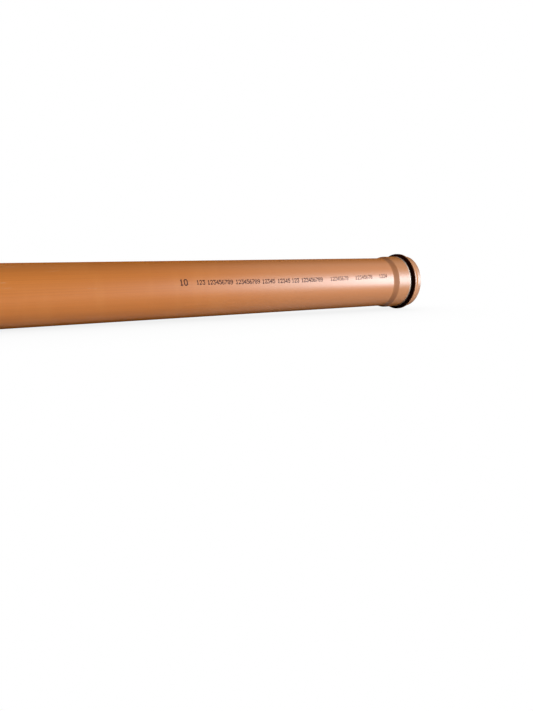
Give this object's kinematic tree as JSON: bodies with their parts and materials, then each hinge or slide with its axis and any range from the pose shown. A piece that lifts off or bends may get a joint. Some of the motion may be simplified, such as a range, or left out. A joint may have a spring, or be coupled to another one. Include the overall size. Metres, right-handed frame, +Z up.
{
  "type": "pvc sewer pipe",
  "caption": "Orange-brown PVC-U drain and sewer pipe, DN 110 and 1 m long, with a chamfered spigot at one end and a push-fit socket with a beaded groove and rubber seal at the other.",
  "frame": {"origin": "on the floor under the middle of the pipe's length, lying as it comes to rest on its spigot and its bead", "axes": "+X along the pipe towards its socket, climbing 0.51 degrees with the pipe's own axis; +Z up"},
  "size_m": [1.0656, 0.1286, 0.1286],
  "materials": {
    "pipe_pvc": "smooth extruded PVC-U, orange-brown, satin",
    "seal_rubber": "moulded black rubber, matt"
  },
  "bodies": {
    "root": {"pipe": "pipe_pvc", "seal_ring": "seal_rubber"}
  },
  "joints": []
}
